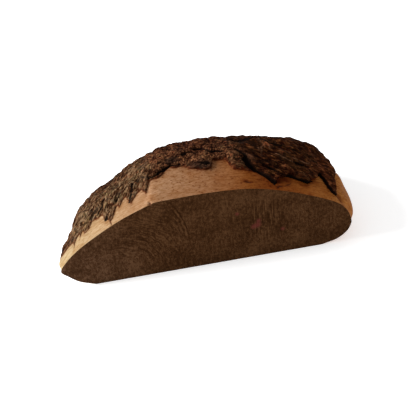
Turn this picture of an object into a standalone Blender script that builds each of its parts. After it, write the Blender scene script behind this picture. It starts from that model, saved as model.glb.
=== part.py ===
"""A sawn segment of a briar root burl: one piece of wood with its bark grown on it.

The front is a half-moon sawn face and the underside a sawn base, square to each other. A band of
peeled wood runs along the front edge, and rough bark covers the rest of the rounded outside.

X runs along the segment, Y from the sawn face into the burl and Z up. The origin is on the base.
Lengths in the tables below are in millimetres, and depth is measured back from the sawn face.
"""

import math

import bmesh
import bpy
import numpy as np
from mathutils import Vector, noise

MM = 0.001

# Size of the wood inside the bark
DEPTH = 115.0
AXIS_HEIGHT = 20.0  # the burl is widest at this level above the base
FACE_Y = -55.0  # where the sawn face lies, which puts the origin under the middle of the weight

# The sawn face, seen from the front, from under the base over the right end, top and left end
FACE_OUTLINE = (
    (0.0, -18.0),
    (50.0, -13.5),
    (80.0, -6.5),
    (100.0, 0.2),
    (112.0, 3.4),
    (120.5, 9.4),
    (124.6, 16.5),
    (125.0, 23.0),
    (120.5, 34.5),
    (111.0, 44.0),
    (88.0, 56.0),
    (62.0, 66.5),
    (36.0, 73.3),
    (4.0, 75.8),
    (-29.0, 75.6),
    (-42.0, 74.8),
    (-49.0, 72.2),
    (-72.0, 62.2),
    (-98.0, 46.8),
    (-113.0, 35.4),
    (-121.5, 26.2),
    (-125.0, 19.3),
    (-120.0, 13.4),
    (-111.0, 5.6),
    (-98.0, 0.2),
    (-78.0, -6.5),
    (-50.0, -13.5),
)
OUTLINE_STEPS = 12  # points of the smooth outline from one of these to the next

# How the cross-section narrows with depth: swell, power and root, as a share of the sawn face
WIDTH_PROFILE = (-0.027, 2.22, 3.99)
HEIGHT_PROFILE = (0.18, 3.1, 1.94)
SIDEWAYS_LEAN = 18.0  # the back lies this far to the right of the front

# Swellings and dents of the wood: x, depth, z, reach and height
LUMPS = (
    (-112.0, 44.0, 26.0, 12.0, -5.5),
    (-124.0, 14.0, 20.0, 12.0, 1.0),
    (-88.0, 66.0, 38.0, 15.0, 1.0),
    (-66.0, 72.0, 54.0, 14.0, -1.0),
    (48.0, 62.0, 77.0, 8.0, -2.0),
    (93.0, 72.0, 60.0, 17.0, 8.0),
    (106.0, 78.0, 55.0, 11.0, 5.5),
    (122.0, 50.0, 42.0, 11.0, -3.0),
    (126.0, 20.0, 28.0, 14.0, 4.5),
)
LUMP_FREE_DEPTH = 12.0  # the lumps grow in over this depth, so that the sawn face keeps its outline

# The edge of the bark: the way round from the middle of the top, and depth
BARK_EDGE = (
    (-200.0, 10.0),
    (-150.0, 5.0),
    (-142.0, 6.0),
    (-139.0, 12.5),
    (-131.0, 13.0),
    (-128.0, 17.0),
    (-124.5, 16.0),
    (-122.5, 10.0),
    (-120.5, 18.0),
    (-118.0, 20.0),
    (-116.5, 14.0),
    (-114.5, 21.0),
    (-111.0, 15.5),
    (-106.5, 15.0),
    (-104.0, 23.0),
    (-93.0, 21.5),
    (-89.0, 13.5),
    (-82.5, 6.5),
    (-80.0, 10.0),
    (-77.0, 21.0),
    (-74.0, 16.5),
    (-71.0, 24.0),
    (-68.5, 24.5),
    (-66.0, 18.5),
    (-63.0, 13.0),
    (-60.5, 16.0),
    (-57.0, 22.5),
    (-53.5, 23.5),
    (-50.5, 19.0),
    (-47.8, 12.5),
    (-46.5, 28.5),
    (-36.0, 29.5),
    (-30.0, 38.0),
    (-16.0, 37.0),
    (-9.5, 32.0),
    (3.5, 28.0),
    (8.2, 30.5),
    (9.5, 39.0),
    (20.5, 37.5),
    (23.5, 29.5),
    (37.0, 27.0),
    (45.0, 20.5),
    (53.5, 17.0),
    (59.7, 7.5),
    (66.0, 16.5),
    (75.0, 19.0),
    (92.0, 15.5),
    (98.0, 21.5),
    (101.5, 23.5),
    (104.5, 32.0),
    (107.5, 30.0),
    (110.5, 18.0),
    (113.0, 11.5),
    (115.5, 10.0),
    (116.8, 20.0),
    (118.0, 29.0),
    (122.0, 34.0),
    (127.5, 39.0),
    (200.0, 50.0),
)
BARK_THICKNESS = 3.6
BARK_EDGE_WIDTH = 2.6  # the bark rises to its thickness over this distance
RAGGED = (5.0, 1.5)  # wavelength and height of the edge's wandering from its line
# Near its edge the bark has less than its full height, by the way round
EDGE_HEIGHT = ((-135.0, 0.1), (-60.0, 0.25), (-30.0, 0.5), (8.0, 0.5), (20.0, 0.2), (38.0, 0.3), (50.0, 1.0))
EDGE_TAPER = 18.0

# Relief of the bark: wavelength and height
SWELLS = (34.0, 2.0)
RIDGES = (13.0, 1.7)
PLATES = (10.0, 0.9)
FIBRE_STRETCH = 2.2  # ridges are this much longer along the fibres than across
LEFT_FIBRE = Vector((0.51, 0.79, 0.34)).normalized()
RIGHT_FIBRE = Vector((0.82, -0.52, -0.25)).normalized()
FIBRE_SPLIT = (0.0, 40.0)  # x between which the fibres turn

# The deep gap in the bark right of the middle: x and depth along it
RIFT_PATH = ((37.0, 50.0), (43.5, 37.0), (50.0, 25.0), (61.5, 10.0))
RIFT_WIDTH = 5.0
RIFT_DEPTH = 4.5

MESH_CENTRE = (8.0, 50.0, 24.0)
MESH_STRETCH = (135.0, 66.0, 54.0)
MESH_POINTS = 7000
RAY_STEPS = 40
SEED = Vector((3.7, 11.3, 5.9))


def smooth_step(value, low, high):
    share = np.clip((value - low) / (high - low), 0.0, 1.0)
    return share * share * (3.0 - 2.0 * share)


def closed_curve(points, steps):
    """A smooth closed line through the points (Catmull-Rom)."""
    here = np.array(points)
    before = np.roll(here, 1, 0)
    after = np.roll(here, -1, 0)
    beyond = np.roll(here, -2, 0)
    curve = []
    for step in range(steps):
        t = step / steps
        slope = (after - before) * t
        bend = (2.0 * before - 5.0 * here + 4.0 * after - beyond) * t**2
        twist = (3.0 * here - before - 3.0 * after + beyond) * t**3
        curve.append(here + 0.5 * (slope + bend + twist))
    return np.stack(curve, 1).reshape(-1, 2)


def outline_table():
    """Angle, radius and way round for the sawn face's outline about the burl's axis."""
    curve = closed_curve(FACE_OUTLINE, OUTLINE_STEPS) - (0.0, AXIS_HEIGHT)
    angle = np.unwrap(np.arctan2(curve[:, 1], curve[:, 0]))
    radius = np.hypot(curve[:, 0], curve[:, 1])
    stride = np.hypot(*np.diff(curve, axis=0).T)
    way = np.concatenate([[0.0], np.cumsum(stride)])
    return angle, radius, np.interp(math.pi / 2.0, angle, way) - way


OUTLINE_ANGLE, OUTLINE_RADIUS, OUTLINE_WAY = outline_table()


def narrowing(share, profile):
    """The size of the cross-section at a share of the depth."""
    swell, power, root = profile
    return (1.0 + swell * share) * (1.0 - share**power) ** (1.0 / root)


def on_section(points):
    """Angle and radius about the burl's axis, with the narrowing towards the back undone."""
    x, depth, z = points.T
    share = np.clip(np.abs(depth) / DEPTH, 0.0, 0.9999)
    x = (x - SIDEWAYS_LEAN * depth / DEPTH) / narrowing(share, WIDTH_PROFILE)
    z = np.where(z > 0.0, z / narrowing(share, HEIGHT_PROFILE), z) - AXIS_HEIGHT
    quarter = math.pi / 2.0
    angle = (np.arctan2(z, x) + quarter) % (2.0 * math.pi) - quarter
    return angle, np.hypot(x, z)


def inside(points):
    """True for points inside the wood, before any lump, bark or saw cut."""
    angle, radius = on_section(points)
    reach = np.interp(angle, OUTLINE_ANGLE, OUTLINE_RADIUS, period=2.0 * math.pi)
    return (radius < reach) & (np.abs(points[:, 1]) < DEPTH)


def way_round(points):
    """How far round the section from the middle of the top each point is, positive on the right."""
    return np.interp(on_section(points)[0], OUTLINE_ANGLE, OUTLINE_WAY)


def bare_surface(directions):
    """Where rays from the burl's middle leave the wood."""
    near = np.zeros(len(directions))
    far = np.full(len(directions), 2.0 * DEPTH)
    for _ in range(RAY_STEPS):
        middle = (near + far) / 2.0
        within = inside(MESH_CENTRE + directions * middle[:, None])
        near = np.where(within, middle, near)
        far = np.where(within, far, middle)
    return MESH_CENTRE + directions * near[:, None]


def add_lumps(points, directions):
    """The wood's own swellings, along the same rays."""
    grown = np.zeros(len(points))
    for x, depth, z, reach, height in LUMPS:
        away = ((points - (x, depth, z)) ** 2).sum(1)
        grown += height * np.exp(-away / (2.0 * reach**2))
    grown *= smooth_step(points[:, 1], 0.0, LUMP_FREE_DEPTH)
    return points + directions * grown[:, None]


def noise_at(points, octaves):
    """Smooth noise of about -1 to 1 at each point."""
    return np.array([noise.fractal(Vector(point) + SEED, 1.0, 2.0, octaves) for point in points])


def plates_at(points):
    """0 along the cracks between plates of bark and 1 inside a plate."""
    nearest = [noise.voronoi(Vector(point) + SEED)[0] for point in points]
    gap = np.array([distances[1] - distances[0] for distances in nearest])
    return smooth_step(gap, 0.04, 0.4)


def along(points, fibre, stretch):
    """The points squeezed along a fibre direction, so that a noise there is stretched along it."""
    shift = points @ np.array(fibre) * (1.0 - 1.0 / stretch)
    return points - shift[:, None] * np.array(fibre)


def bark_pattern(points, fibre):
    """Height of the ridges and plates, long along a fibre direction."""
    places = along(points, fibre, FIBRE_STRETCH)
    ridges = 0.5 - 1.6 * np.abs(noise_at(places / RIDGES[0], 2))
    plates = plates_at(places / PLATES[0]) - 0.6
    return RIDGES[1] * ridges + PLATES[1] * plates


def distance_to_path(x, depth, path):
    """How far each point lies from a path of straight runs, seen from above."""
    found = np.full(len(x), np.inf)
    for start, end in zip(path, path[1:]):
        run = np.subtract(end, start)
        share = np.clip(((x - start[0]) * run[0] + (depth - start[1]) * run[1]) / (run @ run), 0.0, 1.0)
        away = np.hypot(x - start[0] - share * run[0], depth - start[1] - share * run[1])
        found = np.minimum(found, away)
    return found


def by_way(way, table):
    """A value from a table of (way round, value)."""
    places, values = np.array(table).T
    return np.interp(way, places, values)


def bark_relief(points):
    """Height of the bark's surface over the wood, and 0 where the wood is peeled."""
    x, depth, z = points.T
    turned = smooth_step(x, *FIBRE_SPLIT)
    relief = BARK_THICKNESS + SWELLS[1] * noise_at(points / SWELLS[0], 1)
    relief += bark_pattern(points, LEFT_FIBRE) * (1.0 - turned)
    relief += bark_pattern(points, RIGHT_FIBRE) * turned
    rift = 1.0 - smooth_step(distance_to_path(x, depth, RIFT_PATH), 0.0, RIFT_WIDTH)
    relief -= RIFT_DEPTH * rift * (z > AXIS_HEIGHT)
    way = way_round(points)
    behind = depth - by_way(way, BARK_EDGE) - RAGGED[1] * noise_at(points / RAGGED[0], 1)
    at_edge = by_way(way, EDGE_HEIGHT)
    share = at_edge + (1.0 - at_edge) * smooth_step(behind, 0.0, EDGE_TAPER)
    return np.maximum(relief, 0.5) * share * smooth_step(behind, 0.0, BARK_EDGE_WIDTH)


def even_directions(count):
    """Directions spread evenly over a sphere."""
    index = np.arange(count) + 0.5
    rise = 1.0 - 2.0 * index / count
    turn = index * math.pi * (3.0 - math.sqrt(5.0))
    level = np.sqrt(1.0 - rise**2)
    return np.stack([level * np.cos(turn), level * np.sin(turn), rise], 1)


def move_to(mesh, points):
    for vertex, point in zip(mesh.verts, points):
        vertex.co = point
    mesh.normal_update()


def saw(mesh, normal):
    """Cuts away what lies beyond a plane through the origin, and closes the cut with a flat face."""
    whole = mesh.verts[:] + mesh.edges[:] + mesh.faces[:]
    cut = bmesh.ops.bisect_plane(
        mesh, geom=whole, dist=0.05, plane_co=(0.0, 0.0, 0.0), plane_no=normal, clear_outer=True
    )
    rim = [item for item in cut["geom_cut"] if isinstance(item, bmesh.types.BMEdge)]
    bmesh.ops.edgeloop_fill(mesh, edges=rim)


def burl_mesh():
    mesh = bmesh.new()
    for direction in even_directions(MESH_POINTS):
        mesh.verts.new(direction)
    bmesh.ops.convex_hull(mesh, input=mesh.verts)
    directions = np.array([vertex.co[:] for vertex in mesh.verts]) * MESH_STRETCH
    directions /= np.linalg.norm(directions, axis=1)[:, None]
    points = add_lumps(bare_surface(directions), directions)
    move_to(mesh, points)
    outward = np.array([vertex.normal[:] for vertex in mesh.verts])
    move_to(mesh, points + outward * bark_relief(points)[:, None])
    saw(mesh, (0.0, -1.0, 0.0))
    saw(mesh, (0.0, 0.0, -1.0))
    bmesh.ops.translate(mesh, verts=mesh.verts, vec=(0.0, FACE_Y, 0.0))
    bmesh.ops.scale(mesh, verts=mesh.verts, vec=(MM, MM, MM))
    bmesh.ops.triangulate(mesh, faces=mesh.faces)
    bmesh.ops.recalc_face_normals(mesh, faces=mesh.faces)
    return mesh


def burl_material():
    material = bpy.data.materials.new("briar_bark_and_wood")
    material.use_nodes = True
    shader = material.node_tree.nodes["Principled BSDF"]
    shader.inputs["Base Color"].default_value = (0.10, 0.055, 0.032, 1.0)
    shader.inputs["Roughness"].default_value = 0.85
    return material


def main():
    for leftover in list(bpy.data.objects):
        bpy.data.objects.remove(leftover, do_unlink=True)
    mesh = burl_mesh()
    data = bpy.data.meshes.new("briar_burl")
    mesh.to_mesh(data)
    mesh.free()
    data.shade_smooth()
    data.set_sharp_from_angle(angle=math.radians(50.0))
    data.materials.append(burl_material())
    burl = bpy.data.objects.new("briar_burl", data)
    bpy.context.scene.collection.objects.link(burl)


main()
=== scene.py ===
"""A sawn segment of a briar root burl on a pale floor: its bark, peeled edge and sawn faces in full detail.

Lengths in the tables are millimetres. Depth is measured back from the sawn face, and the way round is
measured along the sawn face's outline from the middle of the top, positive on the right.
"""

import math

import bmesh
import bpy
import numpy as np
from mathutils import Matrix, Vector, noise

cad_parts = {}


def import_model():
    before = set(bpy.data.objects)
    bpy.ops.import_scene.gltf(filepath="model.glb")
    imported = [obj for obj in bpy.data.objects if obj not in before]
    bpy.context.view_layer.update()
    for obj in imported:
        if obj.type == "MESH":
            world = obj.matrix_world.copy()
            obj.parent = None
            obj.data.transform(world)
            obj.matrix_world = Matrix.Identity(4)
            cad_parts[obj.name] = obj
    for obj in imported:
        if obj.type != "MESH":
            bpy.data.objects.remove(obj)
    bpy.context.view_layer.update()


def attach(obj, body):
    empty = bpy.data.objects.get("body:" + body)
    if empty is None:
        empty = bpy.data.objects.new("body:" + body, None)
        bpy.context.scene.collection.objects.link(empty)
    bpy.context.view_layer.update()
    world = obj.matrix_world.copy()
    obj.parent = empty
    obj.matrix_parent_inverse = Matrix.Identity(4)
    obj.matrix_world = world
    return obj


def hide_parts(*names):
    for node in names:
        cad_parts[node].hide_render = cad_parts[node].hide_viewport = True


MM = 0.001
NODE = "briar_burl"

# The wood inside the bark: the solid model's form, with some of its lumps changed slightly
DEPTH = 115.0
AXIS_HEIGHT = 20.0
FACE_Y = -55.0
FACE_OUTLINE = (
    (0.0, -18.0),
    (50.0, -13.5),
    (80.0, -6.5),
    (100.0, 0.2),
    (112.0, 3.4),
    (120.5, 9.4),
    (124.6, 16.5),
    (125.0, 23.0),
    (120.5, 34.5),
    (111.0, 44.0),
    (88.0, 56.0),
    (62.0, 66.5),
    (36.0, 73.3),
    (4.0, 75.8),
    (-29.0, 75.6),
    (-42.0, 74.8),
    (-49.0, 72.2),
    (-72.0, 62.2),
    (-98.0, 46.8),
    (-113.0, 35.4),
    (-121.5, 26.2),
    (-125.0, 19.3),
    (-120.0, 13.4),
    (-111.0, 5.6),
    (-98.0, 0.2),
    (-78.0, -6.5),
    (-50.0, -13.5),
)
OUTLINE_STEPS = 12
# How the cross-section narrows towards the back: swell, power and root
WIDTH_PROFILE = (-0.027, 2.22, 3.99)
HEIGHT_PROFILE = (0.18, 3.1, 1.94)
LAST_SHARE = 0.9999  # the narrowing is followed as far as this share of the depth
SIDEWAYS_LEAN = 18.0
# Swellings of the wood: x, depth, height above the base, reach and rise
LUMPS = (
    (-112.0, 44.0, 26.0, 12.0, -5.5),
    (-124.0, 14.0, 20.0, 12.0, 3.4),
    (-88.0, 66.0, 38.0, 15.0, 1.0),
    (-66.0, 72.0, 54.0, 14.0, -1.0),
    (42.0, 79.0, 72.0, 8.0, -2.6),
    (68.0, 71.0, 70.0, 12.0, 2.2),
    (93.0, 72.0, 60.0, 17.0, 8.5),
    (106.0, 78.0, 55.0, 11.0, 5.5),
    (122.0, 41.0, 44.0, 8.0, 4.8),
    (126.0, 20.0, 28.0, 14.0, 4.5),
)
LUMP_FREE_DEPTH = 12.0

# The edge of the bark: the way round and depth
BARK_EDGE = (
    (-200.0, 10.0),
    (-150.0, 16.0),
    (-143.0, 15.0),
    (-139.0, 14.0),
    (-131.0, 15.0),
    (-128.0, 17.0),
    (-124.5, 16.0),
    (-122.5, 10.0),
    (-120.5, 18.0),
    (-118.0, 20.0),
    (-116.5, 14.0),
    (-114.5, 21.0),
    (-111.0, 15.5),
    (-106.5, 15.0),
    (-104.0, 23.0),
    (-93.0, 21.5),
    (-89.0, 13.5),
    (-82.5, 6.5),
    (-80.0, 10.0),
    (-77.0, 21.0),
    (-74.0, 16.5),
    (-71.0, 24.0),
    (-68.5, 24.5),
    (-66.0, 18.5),
    (-63.0, 13.0),
    (-60.5, 16.0),
    (-57.0, 22.5),
    (-53.5, 23.5),
    (-50.5, 19.0),
    (-47.8, 12.5),
    (-46.5, 28.5),
    (-36.0, 29.5),
    (-30.0, 38.0),
    (-16.0, 37.0),
    (-9.5, 32.0),
    (3.5, 28.0),
    (8.2, 30.5),
    (9.5, 39.0),
    (20.5, 37.5),
    (23.5, 31.5),
    (27.0, 25.5),
    (33.0, 23.5),
    (39.0, 21.5),
    (46.0, 19.5),
    (53.5, 15.5),
    (60.5, 6.5),
    (66.0, 16.5),
    (75.0, 19.0),
    (92.0, 15.5),
    (98.0, 21.5),
    (101.5, 23.5),
    (104.5, 32.0),
    (107.5, 28.0),
    (110.5, 17.5),
    (113.0, 12.0),
    (116.0, 9.5),
    (118.3, 8.3),
    (119.0, 24.0),
    (120.2, 34.0),
    (122.0, 44.0),
    (129.0, 51.0),
    (136.0, 55.0),
    (200.0, 62.0),
)
RAGGED = ((5.0, 1.5), (2.2, 1.0))  # wavelength and height of the edge's wandering
RAGGED_STRETCH = 3.0  # of that wandering along the fibres
RAGGED_UNTIL = (28.0, 45.0, 0.7)  # it loses this share of its height between these ways round
BARK_THICKNESS = 3.6
BARK_EDGE_WIDTH = 1.3
# Near its edge the bark has less than its full height, by the way round
EDGE_HEIGHT = (
    (-135.0, 0.1),
    (-60.0, 0.25),
    (-30.0, 0.5),
    (8.0, 0.5),
    (20.0, 0.2),
    (38.0, 0.25),
    (52.0, 1.0),
    (100.0, 1.0),
    (114.0, 0.5),
)
EDGE_TAPER = 18.0
# How far the bark's edge leans over the peeled wood, by the way round
LIP_LEAN = ((-50.0, 0.3), (-5.0, 0.9), (45.0, 1.0))
LIP_REACH = 8.0
# Where the bark breaks up into crumbs towards its edge, as shares by the way round
EDGE_CRUMBS = ((-140.0, 0.3), (16.0, 0.3), (23.0, 1.0), (44.0, 1.0), (54.0, 0.2), (140.0, 0.2))

# Relief of the bark: wavelength and height
SWELLS = (34.0, 2.0)
RIDGES = (13.0, 1.7)
PLATES = (10.0, 0.9)
RIDGE_FORM = (0.5, 1.6)  # level of a ridge's top and the fall to its sides
PLATE_CRACK = (0.04, 0.4)  # a plate rises from its crack between these distances
PLATE_MIDDLE = 0.6  # the plates' mean level
LEAST_RELIEF = 0.5
NOISE_OCTAVES = (1.0, 2.0)  # how each finer octave of a noise falls in height and grows in detail
FIBRE_STRETCH = 2.2
LEFT_FIBRE = Vector((0.51, 0.79, 0.34)).normalized()
RIGHT_FIBRE = Vector((0.82, -0.52, -0.25)).normalized()
FIBRE_SPLIT = (0.0, 40.0)

# Finer relief that only this model has: size, stretch and height
LEFT_FLAKES = (2.9, 3.4, 0.8)
CENTRE_FLAKES = (2.8, 1.5, 0.55)
RIGHT_FLAKES = (4.6, 3.4, 0.5)
LEFT_SHREDS = (2.1, 4.0, 0.8)
CENTRE_SHREDS = (2.6, 1.5, 1.2)
RIGHT_STRIPES = (2.2, 3.6, 0.6)
CRUMB_FORM = (0.45, 1.3)  # level of a crumb's top and the fall to its sides
FLAKE_CRACK = (0.05, 0.32)  # a flake rises from its crack between these distances
FLAKE_WOBBLE = (0.45, 2.0)  # reach and wavelength of the flakes' wandering outlines, in flake sizes
FLAKE_TILT = 0.7
FLAKE_STEP = 0.35
FLAKE_MIDDLE = 0.8  # the flakes' mean level
LEVEL_SPREAD = 9.7  # turns a flake's centre into a level that has nothing to do with its neighbours'
LEFT_UNTIL = (-64.0, -36.0)
RIGHT_FROM = (18.0, 44.0)
ZONE_WANDER = (32.0, 16.0)
CREST_CALM = (30.0, 54.0, 78.0, 96.0, 0.5)  # the finer relief falls and rises again over these depths
ZONE_BLUR = (60.0, 95.0, 30.0)  # the kinds of bark run together between these depths

# Features on the burl's top, each as (width, height or depth, path of (x, depth))
# The gaps are carved into the bark and also painted near-black there: painted shadow
GAPS = (
    (1.8, 2.4, ((37.0, 50.0), (41.0, 43.0), (44.0, 37.0))),
    (4.2, 4.0, ((42.5, 37.0), (44.5, 30.0), (48.0, 24.0))),
    (3.0, 4.0, ((48.0, 24.0), (54.0, 18.5), (59.0, 13.0), (61.5, 9.0))),
    (2.6, 1.5, ((38.0, 73.5), (46.0, 73.0))),
    (1.5, 1.2, ((46.0, 73.0), (58.0, 71.8))),
    (
        1.9,
        3.0,
        ((60.0, 25.5), (64.0, 21.0), (69.0, 19.5), (75.0, 20.5), (82.0, 18.5), (89.0, 16.8), (95.0, 19.0)),
    ),
    (3.0, 2.4, ((-8.0, 51.5), (-2.0, 53.0), (4.0, 51.5))),
    (2.7, 2.2, ((3.0, 58.0), (8.5, 57.5), (13.0, 53.0))),
    (2.2, 2.0, ((15.0, 51.0), (20.0, 51.5), (24.0, 50.0))),
    (1.8, 1.0, ((5.0, 36.5), (11.0, 34.5))),
    (1.9, 2.2, ((-40.0, 32.0), (-31.0, 33.0), (-27.0, 38.0), (-20.0, 41.0), (-12.0, 41.0))),
    (1.1, 0.9, ((-53.0, 33.0), (-56.5, 24.0), (-60.0, 15.0))),
    (1.3, 1.2, ((-79.0, 38.0), (-83.0, 30.0), (-86.0, 25.0))),
    (1.3, 1.2, ((-65.0, 31.0), (-69.0, 25.0))),
    (1.3, 0.6, ((104.5, 31.0), (107.0, 25.0), (109.0, 16.0), (110.8, 11.5), (114.0, 8.6))),
    (2.0, 2.2, ((-81.5, 12.0), (-81.0, 15.0))),
    (1.6, 1.6, ((84.0, 37.5), (94.0, 35.0))),
    (1.6, 1.6, ((66.0, 62.0), (80.0, 55.0), (92.0, 52.0))),
)
STREAKS = (
    (1.0, 0.5, ((70.0, 44.0), (78.0, 39.0), (84.0, 36.5))),
    (1.0, 0.5, ((83.0, 41.5), (90.0, 39.0), (97.0, 38.5))),
    (1.2, 0.5, ((39.0, 45.0), (45.0, 40.0), (51.0, 32.0))),
    (1.0, 0.5, ((57.0, 40.0), (59.5, 50.0), (61.0, 58.0))),
    (0.9, 0.5, ((60.5, 68.0), (58.0, 55.0), (56.0, 46.0))),
    (1.2, 0.5, ((62.5, 54.0), (61.5, 66.0), (62.0, 74.0))),
    (1.0, 0.4, ((66.0, 52.0), (66.0, 60.0))),
    (0.9, 0.4, ((99.0, 44.0), (106.0, 42.0))),
    (0.9, 0.4, ((74.0, 52.0), (84.0, 48.0))),
)
WORN_PLACES = (
    (3.0, 0.0, ((106.0, 38.0), (107.0, 44.0))),
    (2.2, 0.0, ((103.0, 60.0), (104.0, 62.0))),
    (3.2, 0.0, ((64.0, 56.0), (68.0, 57.0))),
    (4.5, 0.0, ((20.0, 32.0), (29.0, 28.0))),
)
HOLLOW = ((8.5, 3.0, ((42.0, 67.0), (50.0, 65.0), (56.0, 60.0))),)
GREY_PLACES = (
    (8.0, 0.0, ((-1.0, 34.0), (9.0, 33.0))),
    (5.0, 0.0, ((-22.0, 46.0), (-16.0, 48.0))),
)
# Painted shade: beside the crevice on the top's right half the bark's colour is darkened along this path
CREVICE_SHADE_PLACES = ((7.5, 0.0, ((47.0, 43.0), (54.0, 33.0), (62.0, 27.0))),)
WOOD_CRACKS = (
    (1.4, 1.6, ((-46.0, -2.0), (-45.0, 3.0))),
    (0.8, 0.7, ((-77.0, 0.0), (-78.0, 6.0))),
    (1.3, 0.9, ((37.5, 9.0), (40.0, 8.0))),
    (0.8, 0.5, ((75.0, 11.0), (69.0, 6.5), (62.0, 3.0))),
    (0.8, 0.3, ((-109.0, 14.0), (-110.5, 7.0))),
    (1.0, 0.3, ((114.5, 7.5), (117.0, 3.0))),
)
# Darker places on the peeled wood: real stains, and between x 62 and 72, under the bark's lip, partly painted
# shade
STAINS_AND_SHADE = (
    (3.0, 0.0, ((36.0, 9.0), (41.0, 8.0))),
    (3.0, 0.0, ((116.0, 10.0), (117.5, 2.0))),
    (5.5, 0.0, ((64.0, 11.0), (72.0, 14.0))),
    (2.6, 0.0, ((84.0, 11.0), (91.0, 12.0))),
    (2.4, 0.0, ((62.0, 3.0), (72.0, 8.0))),
)
# The share of its width over which each kind of feature has its full strength
GAP_CORE = 0.35
HOLLOW_CORE = 0.65
GREY_CORE = 0.2
CREVICE_SHADE_CORE = 0.4
PATH_WANDER = (6.0, 1.1)
GAP_REACH = 1.5  # how far a gap runs out of the bark into the wood
HOLLOW_CALM = 0.7  # the share of the bark's relief that the hollow lacks
FINE_KEPT = (0.45, 0.55)  # the finer relief's least share at the edge, and what it gains away from it
LEAST_BARK = 0.3
WOOD_WAVES = (14.0, 0.35)
WAVES_FROM = 8.0  # the wood's waves grow over this depth
HEIGHT_RANGE = 8.0  # the relief's range, and the finer relief's, as the materials see them
FINE_RANGE = 2.6

MESH_CENTRE = (8.0, 55.0, 36.0)
MESH_STRETCH = (130.0, 62.0, 44.0)
GRID_CUTS = 150
BEYOND_CUT = -6.0  # the surface is finished this far beyond the saw cuts
RAY_STEPS = 40
SAW_SNAP = 0.02  # corners this near a saw cut are moved onto it
# Where the sawn faces' materials stand among the mesh's materials
FACE_MATERIAL = 1
BASE_MATERIAL = 2
SEED = Vector((3.7, 11.3, 5.9))
WOBBLE_SEED = 7  # without it the flakes' outlines would wander differently on each run

# The camera, from a fit of the sawn face's outline: position from the sawn face's foot, in millimetres
CAMERA_PLACE = (-101.376, -750.662, 650.226)
CAMERA_AZIMUTH = -8.0
CAMERA_ELEVATION = 38.0
CAMERA_ROLL = -4.758
CAMERA_LENS = 100.0
SENSOR = 36.0


def smooth_step(value, low, high):
    share = np.clip((value - low) / (high - low), 0.0, 1.0)
    return share * share * (3.0 - 2.0 * share)


def closed_curve(points, steps):
    """A smooth closed line through the points (Catmull-Rom)."""
    here = np.array(points)
    before = np.roll(here, 1, 0)
    after = np.roll(here, -1, 0)
    beyond = np.roll(here, -2, 0)
    curve = []
    for step in range(steps):
        t = step / steps
        slope = (after - before) * t
        bend = (2.0 * before - 5.0 * here + 4.0 * after - beyond) * t**2
        twist = (3.0 * here - before - 3.0 * after + beyond) * t**3
        curve.append(here + 0.5 * (slope + bend + twist))
    return np.stack(curve, 1).reshape(-1, 2)


def outline_table():
    """Angle, radius and way round for the sawn face's outline about the burl's axis."""
    curve = closed_curve(FACE_OUTLINE, OUTLINE_STEPS) - (0.0, AXIS_HEIGHT)
    angle = np.unwrap(np.arctan2(curve[:, 1], curve[:, 0]))
    radius = np.hypot(curve[:, 0], curve[:, 1])
    stride = np.hypot(*np.diff(curve, axis=0).T)
    way = np.concatenate([[0.0], np.cumsum(stride)])
    return angle, radius, np.interp(math.pi / 2.0, angle, way) - way


OUTLINE_ANGLE, OUTLINE_RADIUS, OUTLINE_WAY = outline_table()


def narrowing(share, profile):
    """The size of the cross-section at a share of the depth."""
    swell, power, root = profile
    return (1.0 + swell * share) * (1.0 - share**power) ** (1.0 / root)


def on_section(points):
    """Angle and radius about the burl's axis, with the narrowing towards the back undone."""
    x, depth, z = points.T
    share = np.clip(np.abs(depth) / DEPTH, 0.0, LAST_SHARE)
    x = (x - SIDEWAYS_LEAN * depth / DEPTH) / narrowing(share, WIDTH_PROFILE)
    z = np.where(z > 0.0, z / narrowing(share, HEIGHT_PROFILE), z) - AXIS_HEIGHT
    quarter = math.pi / 2.0
    angle = (np.arctan2(z, x) + quarter) % (2.0 * math.pi) - quarter
    return angle, np.hypot(x, z)


def inside(points):
    """True for points inside the wood, before any lump, bark or saw cut."""
    angle, radius = on_section(points)
    reach = np.interp(angle, OUTLINE_ANGLE, OUTLINE_RADIUS, period=2.0 * math.pi)
    return (radius < reach) & (np.abs(points[:, 1]) < DEPTH)


def way_round(points):
    return np.interp(on_section(points)[0], OUTLINE_ANGLE, OUTLINE_WAY)


def bare_surface(directions):
    """Where rays from the burl's middle leave the wood."""
    near_end = np.zeros(len(directions))
    far_end = np.full(len(directions), 2.0 * DEPTH)
    for _ in range(RAY_STEPS):
        middle = (near_end + far_end) / 2.0
        within = inside(MESH_CENTRE + directions * middle[:, None])
        near_end = np.where(within, middle, near_end)
        far_end = np.where(within, far_end, middle)
    return MESH_CENTRE + directions * near_end[:, None]


def add_lumps(points, directions):
    """The wood's own swellings, along the same rays."""
    grown = np.zeros(len(points))
    for x, depth, z, reach, height in LUMPS:
        away = ((points - (x, depth, z)) ** 2).sum(1)
        grown += height * np.exp(-away / (2.0 * reach**2))
    grown *= smooth_step(points[:, 1], 0.0, LUMP_FREE_DEPTH)
    return points + directions * grown[:, None]


def noise_at(points, octaves):
    """Smooth noise of about -1 to 1 at each point."""
    return np.array([noise.fractal(Vector(point) + SEED, *NOISE_OCTAVES, octaves) for point in points])


def plates_at(points):
    """0 along the cracks between plates of bark and 1 inside a plate."""
    found = np.array([noise.voronoi(Vector(point) + SEED)[0][:2] for point in points])
    return smooth_step(found[:, 1] - found[:, 0], *PLATE_CRACK)


def along(points, fibre, stretch):
    """The points squeezed along a fibre direction, so that a noise there is stretched along it."""
    shift = points @ np.array(fibre) * (1.0 - 1.0 / stretch)
    return points - shift[:, None] * np.array(fibre)


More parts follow.
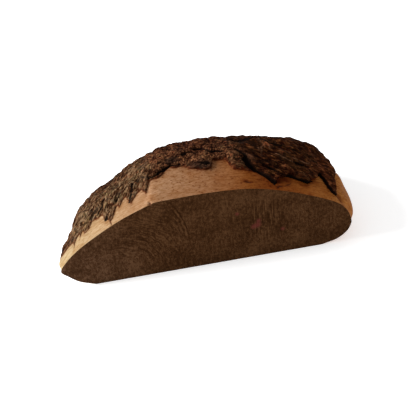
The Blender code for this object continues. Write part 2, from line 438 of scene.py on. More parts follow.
def distance_to_path(x, depth, path):
    """How far each point lies from a path of straight runs, seen from above."""
    found = np.full(len(x), np.inf)
    for start, end in zip(path, path[1:]):
        run = np.subtract(end, start)
        share = np.clip(((x - start[0]) * run[0] + (depth - start[1]) * run[1]) / (run @ run), 0.0, 1.0)
        away = np.hypot(x - start[0] - share * run[0], depth - start[1] - share * run[1])
        found = np.minimum(found, away)
    return found


def by_way(way, table):
    """A value from a table of (way round, value)."""
    places, values = np.array(table).T
    return np.interp(way, places, values)


def behind_edge(points, way):
    """How far each point lies behind the edge of the bark."""
    edge = by_way(way, BARK_EDGE)
    grain = along(points, LEFT_FIBRE, RAGGED_STRETCH)
    start, stop, lost = RAGGED_UNTIL
    kept = 1.0 - lost * smooth_step(way, start, stop)
    for wavelength, height in RAGGED:
        edge += kept * height * noise_at(grain / wavelength, octaves=1)
    return points[:, 1] - edge


def edge_share(behind, way):
    """The share of its full height that the bark has near its edge."""
    at_edge = by_way(way, EDGE_HEIGHT)
    return at_edge + (1.0 - at_edge) * smooth_step(behind, 0.0, EDGE_TAPER)


def bark_pattern(points, fibre):
    """Height of the ridges and plates, long along a fibre direction."""
    places = along(points, fibre, FIBRE_STRETCH)
    top, fall = RIDGE_FORM
    ridges = top - fall * np.abs(noise_at(places / RIDGES[0], octaves=2))
    plates = plates_at(places / PLATES[0]) - PLATE_MIDDLE
    return RIDGES[1] * ridges + PLATES[1] * plates


def main_relief(points):
    """The bark's larger forms, which the solid model has too."""
    turned = smooth_step(points[:, 0], *FIBRE_SPLIT)
    relief = BARK_THICKNESS + SWELLS[1] * noise_at(points / SWELLS[0], octaves=1)
    relief += bark_pattern(points, LEFT_FIBRE) * (1.0 - turned)
    relief += bark_pattern(points, RIGHT_FIBRE) * turned
    return np.maximum(relief, LEAST_RELIEF)


def crumble(points, fibre, wavelength, stretch, height):
    """Small sharp ridges along the fibres."""
    top, fall = CRUMB_FORM
    return height * (top - fall * np.abs(noise_at(along(points, fibre, stretch) / wavelength, octaves=2)))


def flakes(points, fibre, size, stretch, height):
    """Flakes at different heights with cracks between them, each lifted at its front end."""
    reach, wavelength = FLAKE_WOBBLE
    wobble = np.array([noise.noise_vector(Vector(point) / (wavelength * size)) for point in points])
    places = along(points + reach * size * wobble, fibre, stretch) / size
    found = [noise.voronoi(Vector(place) + SEED) for place in places]
    gap = np.array([distances[1] - distances[0] for distances, _ in found])
    level = np.array([noise.cell(centres[0] * LEVEL_SPREAD) for _, centres in found])
    centre = np.array([(centres[0] - SEED)[:] for _, centres in found])
    lifted = (centre - places) @ np.array(fibre)
    top = FLAKE_STEP * level + FLAKE_TILT * lifted
    return height * (top - FLAKE_MIDDLE + smooth_step(gap, *FLAKE_CRACK))


def zones(points, way):
    """How far each point belongs to the left, the middle and the right kind of bark."""
    at = way + ZONE_WANDER[1] * noise_at(points / ZONE_WANDER[0], octaves=1)
    start, stop, most = ZONE_BLUR
    blur = most * smooth_step(points[:, 1], start, stop)
    left = 1.0 - smooth_step(at, LEFT_UNTIL[0] - blur, LEFT_UNTIL[1] + blur)
    right = smooth_step(at, RIGHT_FROM[0] - blur, RIGHT_FROM[1] + blur)
    return left, 1.0 - left - right, right


def fine_relief(points, left, middle, right):
    """Shreds on the left, crumbs in the middle and stripes on the right."""
    shreds = flakes(points, LEFT_FIBRE, *LEFT_FLAKES) + crumble(points, LEFT_FIBRE, *LEFT_SHREDS)
    crumbs = flakes(points, LEFT_FIBRE, *CENTRE_FLAKES) + crumble(points, LEFT_FIBRE, *CENTRE_SHREDS)
    stripes = flakes(points, RIGHT_FIBRE, *RIGHT_FLAKES) + crumble(points, RIGHT_FIBRE, *RIGHT_STRIPES)
    return shreds * left + crumbs * middle + stripes * right


def traced(points, features, core=0.0):
    """Features on the burl's top: 1 on their paths and 0 beyond their widths, and that times their height."""
    x, depth, z = points.T
    wander = PATH_WANDER[1] * noise_at(points / PATH_WANDER[0], octaves=2)
    on_top = z > AXIS_HEIGHT
    shade = np.zeros(len(points))
    height = np.zeros(len(points))
    for width, high, path in features:
        away = distance_to_path(x + wander, depth - wander, path)
        share = (1.0 - smooth_step(away, width * core, width)) * on_top
        shade = np.maximum(shade, share)
        height = np.maximum(height, share * high)
    return shade, height


def crest_calm(depth):
    """The share of its height that the finer relief has at each depth."""
    start, lowest, rising, stop, most = CREST_CALM
    return 1.0 - most * (smooth_step(depth, start, lowest) - smooth_step(depth, rising, stop))


def surface(points, outward):
    """The finished surface over the bare wood, and what the materials need to know about it."""
    way = way_round(points)
    behind = behind_edge(points, way)
    cover = smooth_step(behind, 0.0, BARK_EDGE_WIDTH)
    share = edge_share(behind, way)
    left, middle, right = zones(points, way)
    gaps, gap_cut = traced(points, GAPS, GAP_CORE)
    streaks, streak_rise = traced(points, STREAKS)
    pit, pit_depth = traced(points, HOLLOW, HOLLOW_CORE)
    cracks, crack_cut = traced(points, WOOD_CRACKS)
    fine = fine_relief(points, left, middle, right) * (1.0 - HOLLOW_CALM * pit) * crest_calm(points[:, 1])
    main = main_relief(points) * share
    main += (BARK_THICKNESS - main) * HOLLOW_CALM * pit - pit_depth
    least, gain = FINE_KEPT
    bark = main + fine * (least + gain * share) + streak_rise
    waves = WOOD_WAVES[1] * noise_at(points / WOOD_WAVES[0], octaves=1)
    wood = waves * smooth_step(points[:, 1], 0.0, WAVES_FROM)
    rise = (wood - crack_cut) * (1.0 - cover) + np.maximum(bark, LEAST_BARK) * cover
    lean = by_way(way, LIP_LEAN) * np.exp(-np.maximum(behind, 0.0) / LIP_REACH) * cover
    placed = points + outward * (rise - gap_cut * smooth_step(behind, -GAP_REACH, 0.0))[:, None]
    placed[:, 1] -= lean * rise
    notes = {
        "bark": cover,
        "height": np.clip(0.5 + (bark - BARK_THICKNESS * share) / HEIGHT_RANGE, 0.0, 1.0),
        "fine": np.clip(0.5 + fine / FINE_RANGE, 0.0, 1.0),
        "way": way,
        "behind": behind,
        "crumbs": by_way(way, EDGE_CRUMBS),
        "middle": middle,
        "right": right,
        "gap": gaps,
        "streak": streaks,
        "pit": pit,
        "crack": cracks,
        "worn": traced(points, WORN_PLACES)[0],
        "grey": traced(points, GREY_PLACES, GREY_CORE)[0],
        # painted shade beside the crevice
        "crevice_shade": traced(points, CREVICE_SHADE_PLACES, CREVICE_SHADE_CORE)[0],
        # stains, and partly painted shade under the bark's lip
        "stain_and_shade": traced(points, STAINS_AND_SHADE)[0],
    }
    return placed, notes


def move_to(mesh, points):
    for vertex, point in zip(mesh.verts, points):
        vertex.co = point
    mesh.normal_update()


def positions(mesh):
    return np.array([vertex.co[:] for vertex in mesh.verts])


def saw(mesh, normal, material):
    """Cuts away what lies beyond a plane through the origin, and closes the cut with a flat face."""
    whole = mesh.verts[:] + mesh.edges[:] + mesh.faces[:]
    cut = bmesh.ops.bisect_plane(
        mesh, geom=whole, dist=SAW_SNAP, plane_co=(0.0, 0.0, 0.0), plane_no=normal, clear_outer=True
    )
    rim = [item for item in cut["geom_cut"] if isinstance(item, bmesh.types.BMEdge)]
    for edge in rim:
        edge.smooth = False
    for face in bmesh.ops.edgeloop_fill(mesh, edges=rim, mat_nr=material)["faces"]:
        face.smooth = False


def sphere_grid():
    """An even grid over a sphere, blown up from a cube."""
    mesh = bmesh.new()
    bmesh.ops.create_cube(mesh, size=2.0)
    bmesh.ops.subdivide_edges(mesh, edges=mesh.edges, cuts=GRID_CUTS, use_grid_fill=True)
    directions = np.tan(positions(mesh) * math.pi / 4.0) * MESH_STRETCH
    return mesh, directions / np.linalg.norm(directions, axis=1)[:, None]


def burl_mesh():
    noise.seed_set(WOBBLE_SEED)
    mesh, directions = sphere_grid()
    points = add_lumps(bare_surface(directions), directions)
    move_to(mesh, points)
    outward = np.array([vertex.normal[:] for vertex in mesh.verts])
    kept = (points[:, 1] > BEYOND_CUT) & (points[:, 2] > BEYOND_CUT)
    points[kept], notes = surface(points[kept], outward[kept])
    move_to(mesh, points)
    mesh.verts.ensure_lookup_table()
    places = np.flatnonzero(kept).tolist()
    for name, values in notes.items():
        layer = mesh.verts.layers.float.new(name)
        for place, value in zip(places, values.tolist()):
            mesh.verts[place][layer] = value
    for face in mesh.faces:
        face.smooth = True
    saw(mesh, (0.0, -1.0, 0.0), FACE_MATERIAL)
    saw(mesh, (0.0, 0.0, -1.0), BASE_MATERIAL)
    bmesh.ops.translate(mesh, verts=mesh.verts, vec=(0.0, FACE_Y, 0.0))
    bmesh.ops.scale(mesh, verts=mesh.verts, vec=(MM, MM, MM))
    bmesh.ops.triangulate(mesh, faces=mesh.faces)
    bmesh.ops.recalc_face_normals(mesh, faces=mesh.faces)
    return mesh


def node(tree, kind, sockets=None, **settings):
    """A shader node with its settings and sockets, each a value or another node's output."""
    made = tree.nodes.new("ShaderNode" + kind)
    for name, value in settings.items():
        setattr(made, name, value)
    for name, value in (sockets or {}).items():
        if isinstance(value, bpy.types.NodeSocket):
            tree.links.new(value, made.inputs[name])
        else:
            made.inputs[name].default_value = value
    return made


def math_step(tree, operation, first, second=0.5):
    return node(tree, "Math", {0: first, 1: second}, operation=operation).outputs[0]


def times(tree, first, second):
    return math_step(tree, "MULTIPLY", first, second)


def blended(tree, factor, first, second):
    """A mix of two values, which the node takes at its sockets 2 and 3."""
    return node(tree, "Mix", {0: factor, 2: first, 3: second}, data_type="FLOAT").outputs[0]


def weighed(tree, parts):
    """0.5 plus how far each value is from 0.5, times its weight."""
    total = 0.5
    for value, weight in parts:
        apart = times(tree, math_step(tree, "SUBTRACT", value, 0.5), weight)
        total = math_step(tree, "ADD", apart, total)
    return total


def as_colour(value):
    """A socket as it is, and three numbers with full opacity."""
    return value if isinstance(value, bpy.types.NodeSocket) else (*value, 1.0)


def mixed(tree, factor, first, second, blend="MIX"):
    """A mix of two colours, which the node takes at its sockets 6 and 7."""
    sockets = {0: factor, 6: as_colour(first), 7: as_colour(second)}
    return node(tree, "Mix", sockets, data_type="RGBA", blend_type=blend).outputs[2]


def ramp(tree, value, stops):
    """A colour ramp with (place, colour) stops."""
    made = node(tree, "ValToRGB", {"Fac": value})
    elements = made.color_ramp.elements
    for _ in range(len(stops) - len(elements)):
        elements.new(1.0)
    for element, (place, colour) in zip(elements, stops):
        element.position = place
        element.color = (*colour, 1.0)
    return made.outputs["Color"]


def spread(tree, value, low, high, to_low=0.0, to_high=1.0):
    """A value from between two limits to between two others, held at the ends."""
    sockets = {"Value": value, "From Min": low, "From Max": high, "To Min": to_low, "To Max": to_high}
    return node(tree, "MapRange", sockets, clamp=True).outputs["Result"]


def texture_noise(tree, vector, wavelength, detail=2.0, roughness=0.5):
    sockets = {"Vector": vector, "Scale": 1.0 / wavelength, "Detail": detail, "Roughness": roughness}
    return node(tree, "TexNoise", sockets).outputs["Fac"]


def vector_step(tree, operation, first, second):
    return node(tree, "VectorMath", {0: first, 1: second}, operation=operation).outputs["Vector"]


def scaled(tree, vector, size):
    return node(tree, "VectorMath", {0: vector, "Scale": size}, operation="SCALE").outputs["Vector"]


def distance_in(tree, place, centre):
    return node(tree, "VectorMath", {0: place, 1: centre}, operation="DISTANCE").outputs["Value"]


def near(tree, place, centre, inner, outer):
    """1 near a place and 0 away from it."""
    return spread(tree, distance_in(tree, place, centre), inner, outer, 1.0, 0.0)


def millimetres(tree):
    """Places on the object in millimetres, with depth from the sawn face."""
    place = node(tree, "TexCoord").outputs["Object"]
    return vector_step(tree, "SUBTRACT", scaled(tree, place, 1.0 / MM), (0.0, FACE_Y, 0.0))


def squeezed(tree, place, fibre, stretch):
    """Places squeezed along a fibre direction, as along() does for points."""
    length = node(tree, "VectorMath", {0: place, 1: fibre}, operation="DOT_PRODUCT").outputs["Value"]
    shift = scaled(tree, fibre, times(tree, length, 1.0 - 1.0 / stretch))
    return vector_step(tree, "SUBTRACT", place, shift)


def axis_noise(tree, place, scales, *settings):
    """A noise with a scale of its own along each axis."""
    return texture_noise(tree, vector_step(tree, "MULTIPLY", place, scales), *settings)


def fibre_noise(tree, place, fibre, stretch, *settings):
    """A noise that is long along a fibre direction."""
    return texture_noise(tree, squeezed(tree, place, fibre, stretch), *settings)


def by_kind(tree, kinds, values):
    """The left, middle or right kind of bark's value, blended where the kinds meet."""
    middle, right = kinds
    return blended(tree, right, blended(tree, middle, values[0], values[1]), values[2])


def noted(tree, name):
    """A value that the mesh carries at each vertex."""
    return node(tree, "Attribute", attribute_name=name, attribute_type="GEOMETRY").outputs["Fac"]


def new_material(name):
    made = bpy.data.materials.new(name)
    made.use_nodes = True
    return made, made.node_tree, made.node_tree.nodes["Principled BSDF"]


def bumped(tree, shader, height, distance):
    bump = node(tree, "Bump", {"Height": height, "Distance": distance * MM, "Strength": 1.0})
    tree.links.new(bump.outputs["Normal"], shader.inputs["Normal"])


SHEEN = 0.02

# Colours of the peeled wood round the edge, left to right, as (way round, colour); the darker colours at ways
# 38 and 56 are partly dirty wood and partly painted shade under the bark's overhanging lip
PEELED = (
    (-150.0, (0.265, 0.200, 0.108)),
    (-100.0, (0.246, 0.157, 0.080)),
    (-46.0, (0.237, 0.128, 0.065)),
    (5.0, (0.197, 0.087, 0.036)),
    (38.0, (0.160, 0.049, 0.009)),
    (56.0, (0.130, 0.030, 0.004)),
    (92.0, (0.233, 0.070, 0.012)),
    (115.0, (0.302, 0.110, 0.023)),
)
WAY_SPAN = 150.0
WOOD_LIGHT = (1.22, 1.30, 1.45)
WOOD_DARK = (0.82, 0.74, 0.62)
WOOD_CLOUD = (0.80, 0.66, 0.50)
WOOD_SPECK = (0.42, 0.22, 0.12)
# Darkening of stains, which also carries painted shade under the bark's lip
WOOD_STAIN_AND_SHADE = (0.42, 0.24, 0.12)
WOOD_RIM = (0.35, 0.17, 0.09)
CRACK_BROWN = (0.045, 0.012, 0.005)
# Noises in the peeled wood: the scale along each axis where there is one, wavelength, detail and roughness
WOOD_GRAIN = ((0.3, 1.0, 0.3), 1.6, 4.0, 0.75)
WOOD_CLOUDS = (11.0, 3.0, 0.6)
WOOD_SPECKS = ((0.7, 1.0, 0.7), 1.7, 1.0)
WOOD_BLOTCHES = (3.0, 3.0)
# The levels between which each of them shows, and its strength at both where that isn't 0 and 1
GRAIN_SHOWN = (0.38, 0.62)
CLOUDS_SHOWN = (0.46, 0.66, 0.0, 0.75)
SPECKS_SHOWN = (0.60, 0.70, 0.0, 0.75)
BLOTCHES_SHOWN = (0.38, 0.62, 0.0, 0.8)
STAINS_AND_SHADE_SHOWN = (0.35, 0.6, 0.5, 1.0)
CRACKS_SHOWN = (0.2, 0.8, 0.0, 0.9)
SPECKS_FROM = (-60.0, -35.0)  # the specks begin between these ways round
BLOTCHED = (-7.0, -0.3)  # the blotches grow towards the bark's edge over this distance
RIM = (-1.2, 0.0)  # and so does the dark rim


def peeled_wood(tree, place):
    way = noted(tree, "way")
    behind = noted(tree, "behind")
    stops = [((at + WAY_SPAN) / (2.0 * WAY_SPAN), colour) for at, colour in PEELED]
    colour = ramp(tree, spread(tree, way, -WAY_SPAN, WAY_SPAN), stops)
    grain = axis_noise(tree, place, *WOOD_GRAIN)
    shade = mixed(tree, spread(tree, grain, *GRAIN_SHOWN), WOOD_DARK, WOOD_LIGHT)
    colour = mixed(tree, 1.0, colour, shade, "MULTIPLY")
    clouds = texture_noise(tree, place, *WOOD_CLOUDS)
    specks = spread(tree, axis_noise(tree, place, *WOOD_SPECKS), *SPECKS_SHOWN)
    blotches = spread(tree, texture_noise(tree, place, *WOOD_BLOTCHES), *BLOTCHES_SHOWN)
    for strength, tint in (
        (spread(tree, clouds, *CLOUDS_SHOWN), WOOD_CLOUD),
        (times(tree, specks, spread(tree, way, *SPECKS_FROM)), WOOD_SPECK),
        (times(tree, spread(tree, behind, *BLOTCHED), blotches), WOOD_STAIN_AND_SHADE),
        (spread(tree, behind, *RIM), WOOD_RIM),
        # stains, and partly painted shade under the bark's lip
        (times(tree, noted(tree, "stain_and_shade"), spread(tree, clouds, *STAINS_AND_SHADE_SHOWN)), WOOD_STAIN_AND_SHADE),
    ):
        colour = mixed(tree, strength, colour, tint, "MULTIPLY")
    return mixed(tree, spread(tree, noted(tree, "crack"), *CRACKS_SHOWN), colour, CRACK_BROWN), grain


# Colours of the bark from its gaps to its ridges, as (place, colour)
LEFT_BARK = (
    (0.14, (0.012, 0.004, 0.0012)),
    (0.34, (0.040, 0.0165, 0.0062)),
    (0.50, (0.080, 0.042, 0.0190)),
    (0.66, (0.124, 0.0725, 0.0375)),
    (0.88, (0.172, 0.1080, 0.0600)),
)
MIDDLE_BARK = (
    (0.18, (0.008, 0.0015, 0.0005)),
    (0.38, (0.032, 0.0095, 0.0034)),
    (0.53, (0.073, 0.0265, 0.0108)),
    (0.68, (0.120, 0.0475, 0.0205)),
    (0.88, (0.178, 0.0790, 0.0330)),
)
RIGHT_BARK = (
    (0.20, (0.0060, 0.0009, 0.0002)),
    (0.40, (0.0200, 0.0040, 0.0010)),
    (0.56, (0.0400, 0.0115, 0.0029)),
    (0.72, (0.0670, 0.0220, 0.0062)),
    (0.92, (0.1200, 0.0470, 0.0165)),
)
LICHEN = (0.074, 0.053, 0.032)
GREY = (0.024, 0.0120, 0.0072)
OLIVE = (0.085, 0.056, 0.022)
OLIVE_DARK = (0.036, 0.014, 0.0040)
RUST = (0.140, 0.038, 0.0145)
EMBER = (0.200, 0.085, 0.032)
# Patches of other colours in the bark: colour, size, noise limits, and strength on the left, middle and right
PATCHES = (
    (LICHEN, 8.0, (0.54, 0.62), (0.45, 0.1, 0.0)),
    (OLIVE, 6.5, (0.56, 0.64), (0.5, 0.2, 0.0)),
    (OLIVE_DARK, 13.0, (0.50, 0.60), (0.0, 0.0, 0.6)),
    (RUST, 4.5, (0.58, 0.67), (0.40, 0.45, 0.4)),
    (EMBER, 2.8, (0.60, 0.70), (0.5, 0.45, 0.3)),
)
PATCH_NOISE = (2.0, 0.6)  # detail and roughness
PATCH_SHIFT = (31.0, 17.0, 5.0)
# Noises on the left, in the middle and on the right: fibre, stretch, wavelength, detail and roughness
BARK_GRAIN = (
    (LEFT_FIBRE, 2.5, 2.1, 3.0, 0.7),
    (LEFT_FIBRE, 1.6, 2.1, 3.0, 0.8),
    (RIGHT_FIBRE, 3.4, 1.9, 3.0, 0.75),
)
BARK_FOLDS = (
    (LEFT_FIBRE, 3.0, 2.6, 2.0),
    (LEFT_FIBRE, 1.3, 2.8, 2.0),
    (RIGHT_FIBRE, 4.0, 2.2, 2.0),
)
CREASE_WIDTH = 0.055
CREASE_DEPTH = (0.20, 0.38)  # at the sides and in the middle
PALE_STREAK = (0.100, 0.048, 0.026)
WORN_RED = (0.165, 0.048, 0.017)
PIT_BROWN = (0.031, 0.0088, 0.0017)
# Painted shade, multiplied into the bark's colour beside the crevice on the top's right half
CREVICE_PAINTED_SHADE = (0.46, 0.38, 0.34)
# Painted shadow: the near-black colour painted into the bark's gaps
GAP_PAINTED_SHADOW = (0.0030, 0.0014, 0.0010)
# Places with a colour of their own: the noted value, colour and strength
TINTED_PLACES = (
    ("grey", GREY, 0.85),
    ("streak", PALE_STREAK, 0.85),
    ("worn", WORN_RED, 0.85),
)
PIT_STRENGTH = 0.9
FINE_WEIGHT = 0.35
GRAIN_WEIGHT = 2.8
BRIGHTNESS = (0.25, 0.75, 0.3, 1.6)  # of a patch's colour between a low and a high level of the relief
# Painted shade and light: towards the back the larger relief weighs more in the bark's colour, its furrows
# painted darker and its ridges lighter
FURROWS_FROM = (55.0, 85.0)  # the larger relief colours the bark more between these depths
FURROWS = (0.45, 1.4)
# Painted shade: the bark is darkened towards the back and beyond its far left end, standing in for shade
# where the bark turns away at its outline
BACK_FROM = (46.0, 84.0)  # the bark darkens between these depths
END_UNTIL = (-140.0, -124.0)  # and beyond these ways round
BACK_WANDER = (15.0, 36.0)  # wavelength and reach of their wandering
BACK_PAINTED_SHADE = (0.46, 0.31, 0.27)
BACK_STRENGTH = (1.0, 0.25)  # of that darkening elsewhere and on the right
END_WANDER = 0.4  # the share of the wandering that the ends have
RUSTY_END = (92.0, 108.0, 0.0, 0.2)  # between these ways round the bark reddens from and to these shares


def creases(tree, place, kinds):
    """How deep the thin wandering cracks between the bark's crumbs are."""
    folds = by_kind(tree, kinds, [fibre_noise(tree, place, *settings) for settings in BARK_FOLDS])
    away = math_step(tree, "ABSOLUTE", math_step(tree, "SUBTRACT", folds, 0.5))
    depth = blended(tree, kinds[0], *CREASE_DEPTH)
    return times(tree, spread(tree, away, 0.0, CREASE_WIDTH, 1.0, 0.0), depth)


def bark_colours(tree, place):
    middle = noted(tree, "middle")
    right = noted(tree, "right")
    kinds = (middle, right)
    grain = by_kind(tree, kinds, [fibre_noise(tree, place, *settings) for settings in BARK_GRAIN])
    depth = node(tree, "SeparateXYZ", {0: place}).outputs["Y"]
    # painted shade and light in the larger relief towards the back
    furrows = spread(tree, depth, *FURROWS_FROM, *FURROWS)
    parts = [(noted(tree, "height"), furrows), (noted(tree, "fine"), FINE_WEIGHT), (grain, GRAIN_WEIGHT)]
    raised = math_step(tree, "SUBTRACT", weighed(tree, parts), creases(tree, place, kinds))
    colour = mixed(tree, middle, ramp(tree, raised, LEFT_BARK), ramp(tree, raised, MIDDLE_BARK))
    colour = mixed(tree, right, colour, ramp(tree, raised, RIGHT_BARK))
    level = spread(tree, raised, *BRIGHTNESS)
    for turn, (tint, size, limits, strengths) in enumerate(PATCHES, 1):
        moved = vector_step(tree, "ADD", place, [turn * shift for shift in PATCH_SHIFT])
        mask = spread(tree, texture_noise(tree, moved, size, *PATCH_NOISE), *limits)
        mask = times(tree, mask, by_kind(tree, kinds, strengths))
        colour = mixed(tree, mask, colour, scaled(tree, tint, level))
    for name, tint, strength in TINTED_PLACES:
        colour = mixed(tree, times(tree, noted(tree, name), strength), colour, scaled(tree, tint, level))
    # painted shade beside the crevice on the top's right half
    colour = mixed(tree, noted(tree, "crevice_shade"), colour, CREVICE_PAINTED_SHADE, "MULTIPLY")
    in_pit = times(tree, noted(tree, "pit"), PIT_STRENGTH)
    colour = mixed(tree, in_pit, colour, scaled(tree, PIT_BROWN, level))
    # painted shade towards the back and at the far left end
    wander = math_step(tree, "SUBTRACT", texture_noise(tree, place, BACK_WANDER[0]), 0.5)
    wander = times(tree, wander, BACK_WANDER[1])
    far = spread(tree, math_step(tree, "ADD", depth, wander), *BACK_FROM)
    far = times(tree, far, blended(tree, right, *BACK_STRENGTH))
    way = noted(tree, "way")
    colour = mixed(tree, spread(tree, way, *RUSTY_END), colour, scaled(tree, RUST, level))
    at_end = math_step(tree, "ADD", way, times(tree, wander, END_WANDER))
    at_end = spread(tree, at_end, *END_UNTIL, 1.0, 0.0)
    colour = mixed(tree, math_step(tree, "MAXIMUM", far, at_end), colour, BACK_PAINTED_SHADE, "MULTIPLY")
    return colour, grain


# Where the bark breaks up into crumbs: their noise, how it grows with each millimetre, and the levels shown
CRUMB_NOISE = (2.6, 3.0, 0.7)
CRUMB_GROWTH = 0.03
CRUMBS_SHOWN = (0.48, 0.60)
# Painted shadow in the gaps: the levels between which it shows, and its strength at both
GAP_SHADOW_SHOWN = (0.15, 0.7, 0.0, 0.96)
OUTSIDE_ROUGHNESS = (0.6, 0.9)  # of the peeled wood and of the bark
WOOD_BUMP = 0.4  # the share of the bump that the peeled wood has
OUTSIDE_BUMP = 1.1


def outside_material():
    material, tree, shader = new_material("burl_bark_and_peeled_wood")
    place = millimetres(tree)
    wood, wood_grain = peeled_wood(tree, place)
    bark, bark_grain = bark_colours(tree, place)
    growth = times(tree, noted(tree, "behind"), CRUMB_GROWTH)
    crumbs = math_step(tree, "ADD", texture_noise(tree, place, *CRUMB_NOISE), growth)
    shown = blended(tree, noted(tree, "crumbs"), 1.0, spread(tree, crumbs, *CRUMBS_SHOWN))
    cover = times(tree, noted(tree, "bark"), shown)
    # painted shadow: the gaps are painted near-black
    in_gap_shadow = spread(tree, noted(tree, "gap"), *GAP_SHADOW_SHOWN)
    colour = mixed(tree, in_gap_shadow, mixed(tree, cover, wood, bark), GAP_PAINTED_SHADOW)
    tree.links.new(colour, shader.inputs["Base Color"])
    tree.links.new(spread(tree, cover, 0.0, 1.0, *OUTSIDE_ROUGHNESS), shader.inputs["Roughness"])
    shader.inputs["Specular IOR Level"].default_value = SHEEN
    relief = blended(tree, cover, times(tree, wood_grain, WOOD_BUMP), bark_grain)
    bumped(tree, shader, relief, OUTSIDE_BUMP)
    return material


SAWN_WOOD = (
    (0.36, (0.0230, 0.0080, 0.0020)),
    (0.50, (0.0450, 0.0175, 0.0058)),
    (0.66, (0.0860, 0.0390, 0.0160)),
)
# Painted light: the sawn wood is paler near this corner, the sawn face's lower left on the side of the key
# light, over this reach
SAWN_PAINTED_LIGHT = (1.40, 1.62, 2.20)
PAINTED_LIGHT_CORNER = (-118.0, 0.0, 12.0)
PAINTED_LIGHT_REACH = (5.0, 75.0)
SAWN_ROUGHNESS = 0.85
SAWN_BUMP = 0.35
# Noises in the sawn wood: the scale along each axis where there is one, wavelength, detail and roughness
SAWN_FLECKS = ((1.0, 1.0, 0.75), 2.8, 5.0, 1.0)
SAWN_CLOUDS = (24.0, 3.0)
SCRATCHES = ((1.0, 1.0, 0.07), 1.1, 2.0, 0.6)
FAN_LINES = (1.2, 2.0, 0.6)
FLECK_WEIGHT = 1.6
CLOUD_WEIGHT = 0.42
FAN_WEIGHT = 0.85
RED_SPOT = (0.110, 0.024, 0.018)
SPOT_STRENGTH = 0.75
SPOT_WOBBLE = 2.0
SPOT_CORE = (0.5, 0.4)  # a spot is strongest within this distance plus this share of its radius
SPOT_FADE = 1.5  # how far past its radius a spot fades away
# Red spots on the sawn face: place and radius
FACE_SPOTS = (
    ((43.5, 0.0, 34.0), 3.6),
    ((40.0, 0.0, 32.5), 3.0),
    ((44.5, 0.0, 38.0), 2.4),
    ((26.5, 0.0, 49.0), 1.9),
    ((65.0, 0.0, 25.0), 2.0),
)
# Saw marks: a fan of fine arcs, four deeper arcs as (radius, strength), and a patch of upright scratches
FAN_CENTRE = (-75.0, 0.0, 5.0)
FAN_MIDDLE = (-48.0, 0.0, 44.0)
FAN_REACH = (15.0, 42.0)
FAN_BEND = 16.0
FAN_SWEEP = 0.08  # how fast the arcs change along their length
ARC_CENTRE = (-99.0, 0.0, 27.0)
ARC_MIDDLE = (-18.0, 0.0, 52.0)
ARC_REACH = (12.0, 24.0)
ARC_EDGE = (0.1, 0.9)
ARCS = ((84.0, -0.20), (82.5, 0.10), (80.8, -0.16), (77.8, -0.09))
SCRATCH_MIDDLE = (51.0, 0.0, 38.0)
SCRATCH_WEIGHT = (8.0, 26.0, 1.1, 0.18)  # inner and outer distance, and the weight at each


def saw_marks(tree, place, clouds):
    """The fine arcs of the fan, which wander with the clouds."""
    reach = math_step(tree, "ADD", distance_in(tree, place, FAN_CENTRE), times(tree, clouds, FAN_BEND))
    sweep = node(tree, "SeparateXYZ", {0: scaled(tree, place, FAN_SWEEP)}).outputs["X"]
    fan_place = node(tree, "CombineXYZ", {"X": reach, "Y": sweep}).outputs[0]
    return texture_noise(tree, fan_place, *FAN_LINES)


def sawn_material(name, turn, spots):
    """Sawn wood with its grain up the face, where turn is what sets the pattern's plane upright."""
    material, tree, shader = new_material(name)
    sockets = {"Vector": millimetres(tree), "Rotation": turn}
    place = node(tree, "VectorRotate", sockets, rotation_type="EULER_XYZ").outputs["Vector"]
    flecks = axis_noise(tree, place, *SAWN_FLECKS)
    clouds = texture_noise(tree, place, *SAWN_CLOUDS)
    scratches = axis_noise(tree, place, *SCRATCHES)
    in_scratches = spread(tree, distance_in(tree, place, SCRATCH_MIDDLE), *SCRATCH_WEIGHT)
    fan = saw_marks(tree, place, clouds)
    in_fan = times(tree, near(tree, place, FAN_MIDDLE, *FAN_REACH), FAN_WEIGHT)
    parts = [(flecks, FLECK_WEIGHT), (clouds, CLOUD_WEIGHT), (scratches, in_scratches), (fan, in_fan)]
    level = weighed(tree, parts)
    reach = distance_in(tree, place, ARC_CENTRE)
    in_arcs = near(tree, place, ARC_MIDDLE, *ARC_REACH)
    for radius, strength in ARCS:
        away = math_step(tree, "ABSOLUTE", math_step(tree, "SUBTRACT", reach, radius))
        line = times(tree, spread(tree, away, *ARC_EDGE, strength, 0.0), in_arcs)
        level = math_step(tree, "ADD", level, line)
    colour = ramp(tree, level, SAWN_WOOD)
    # painted light towards the sawn face's lower-left corner
    colour = mixed(tree, near(tree, place, PAINTED_LIGHT_CORNER, *PAINTED_LIGHT_REACH), colour, SAWN_PAINTED_LIGHT, "MULTIPLY")
    least, share = SPOT_CORE
    for centre, radius in spots:
        wobbling = math_step(tree, "ADD", distance_in(tree, place, centre), times(tree, flecks, SPOT_WOBBLE))
        shown = spread(tree, wobbling, least + radius * share, SPOT_FADE + radius, SPOT_STRENGTH, 0.0)
        colour = mixed(tree, shown, colour, RED_SPOT)
    tree.links.new(colour, shader.inputs["Base Color"])
    shader.inputs["Roughness"].default_value = SAWN_ROUGHNESS
    shader.inputs["Specular IOR Level"].default_value = SHEEN
    bumped(tree, shader, level, SAWN_BUMP)
    return material


def make_burl():
    mesh = burl_mesh()
    data = bpy.data.meshes.new("burl_wood_and_bark")
    mesh.to_mesh(data)
    mesh.free()
    data.materials.append(outside_material())
    data.materials.append(sawn_material("burl_sawn_face", (0.0, 0.0, 0.0), FACE_SPOTS))
    data.materials.append(sawn_material("burl_sawn_base", (math.pi / 2.0, 0.0, 0.0), ()))
    burl = bpy.data.objects.new("burl_wood_and_bark", data)
    bpy.context.scene.collection.objects.link(burl)
    return burl


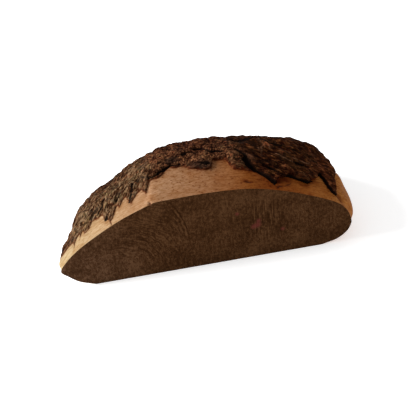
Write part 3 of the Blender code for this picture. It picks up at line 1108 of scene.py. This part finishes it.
FLOOR_SIDE = 8.0
FLOOR_COLOUR = (0.86, 0.86, 0.86, 1.0)
FLOOR_ROUGHNESS = 0.9
FLOOR_GLOW = 0.46
WHITE = (1.0, 1.0, 1.0, 1.0)
SKY = 0.60
KEY_PLACE = (-1.9, 0.35, 1.05)
KEY_AIM = (0.0, 0.0, 0.03)
KEY_SIZE = 1.1
KEY_POWER = 105.0


def make_floor():
    mesh = bmesh.new()
    bmesh.ops.create_grid(mesh, x_segments=1, y_segments=1, size=FLOOR_SIDE / 2.0)
    data = bpy.data.meshes.new("floor")
    mesh.to_mesh(data)
    mesh.free()
    material, _, shader = new_material("floor_paper")
    shader.inputs["Base Color"].default_value = FLOOR_COLOUR
    shader.inputs["Roughness"].default_value = FLOOR_ROUGHNESS
    shader.inputs["Emission Color"].default_value = WHITE
    shader.inputs["Emission Strength"].default_value = FLOOR_GLOW
    data.materials.append(material)
    floor = bpy.data.objects.new("floor", data)
    bpy.context.scene.collection.objects.link(floor)
    return floor


def make_lights():
    world = bpy.data.worlds.new("studio")
    world.use_nodes = True
    background = world.node_tree.nodes["Background"]
    background.inputs["Color"].default_value = WHITE
    background.inputs["Strength"].default_value = SKY
    bpy.context.scene.world = world
    lamp = bpy.data.lights.new("key", "AREA")
    lamp.shape = "DISK"
    lamp.size = KEY_SIZE
    lamp.energy = KEY_POWER
    key = bpy.data.objects.new("key", lamp)
    key.location = KEY_PLACE
    aim = Vector(KEY_AIM) - key.location
    key.rotation_mode = "QUATERNION"
    key.rotation_quaternion = aim.to_track_quat("-Z", "Y")
    bpy.context.scene.collection.objects.link(key)


def make_camera():
    azimuth = math.radians(CAMERA_AZIMUTH)
    elevation = math.radians(CAMERA_ELEVATION)
    roll = math.radians(CAMERA_ROLL)
    level = math.cos(elevation)
    back = Vector((math.sin(azimuth) * level, -math.cos(azimuth) * level, math.sin(elevation)))
    flat_right = Vector((math.cos(azimuth), math.sin(azimuth), 0.0))
    flat_up = back.cross(flat_right)
    right = flat_right * math.cos(roll) + flat_up * math.sin(roll)
    up = flat_up * math.cos(roll) - flat_right * math.sin(roll)
    data = bpy.data.cameras.new("camera")
    data.lens = CAMERA_LENS
    data.sensor_width = SENSOR
    camera = bpy.data.objects.new("camera", data)
    place = (Vector(CAMERA_PLACE) + Vector((0.0, FACE_Y, 0.0))) * MM
    camera.matrix_world = Matrix.Translation(place) @ Matrix((right, up, back)).transposed().to_4x4()
    bpy.context.scene.collection.objects.link(camera)
    bpy.context.scene.camera = camera


def main():
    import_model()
    bpy.context.scene.view_settings.view_transform = "Standard"
    burl = make_burl()
    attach(burl, "root")
    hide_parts(NODE)
    make_floor()
    make_lights()
    make_camera()
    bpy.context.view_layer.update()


main()
